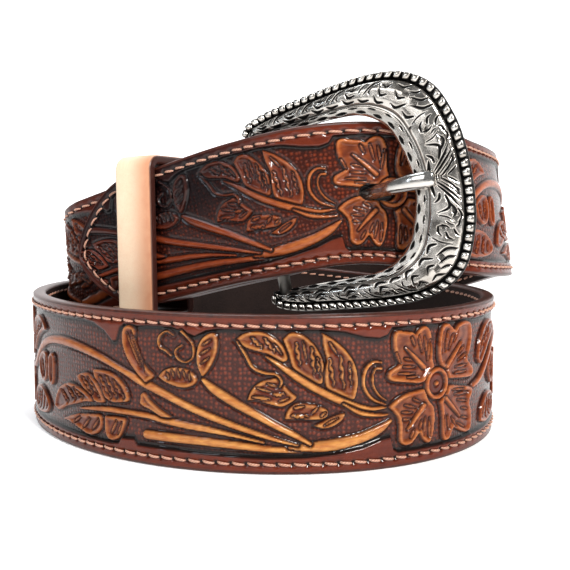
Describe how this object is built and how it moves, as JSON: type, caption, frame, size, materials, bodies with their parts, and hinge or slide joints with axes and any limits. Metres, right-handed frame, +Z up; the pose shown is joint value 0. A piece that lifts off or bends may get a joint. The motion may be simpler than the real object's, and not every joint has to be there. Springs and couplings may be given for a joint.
{
  "type": "western tooled leather belt",
  "caption": "Tooled leather belt buckled and coiled on edge, with a keeper loop and an arched, rope-rimmed western buckle whose prong passes through the strap.",
  "frame": {"origin": "middle of the belt's box in plan, on the surface that it stands on", "axes": "+Z up through the coil, -Y towards the viewer and the buckle's front, +X to the viewer's right"},
  "size_m": [0.154, 0.1542, 0.0982],
  "materials": {
    "tooled_leather": "tooled, dyed brown with dark antiquing, semi-gloss",
    "keeper_leather": "natural tan leather, satin, brown painted edges",
    "antique_silver": "cast zinc alloy with antiqued silver plating, polished high spots",
    "prong_metal": "polished silver plating",
    "screw_metal": "plain plated screw heads"
  },
  "bodies": {
    "root": {"belt_strap": "tooled_leather", "keeper": "keeper_leather", "buckle_frame": "antique_silver", "buckle_prong": "prong_metal", "fold_screw_1": "screw_metal", "fold_screw_2": "screw_metal"}
  },
  "joints": []
}
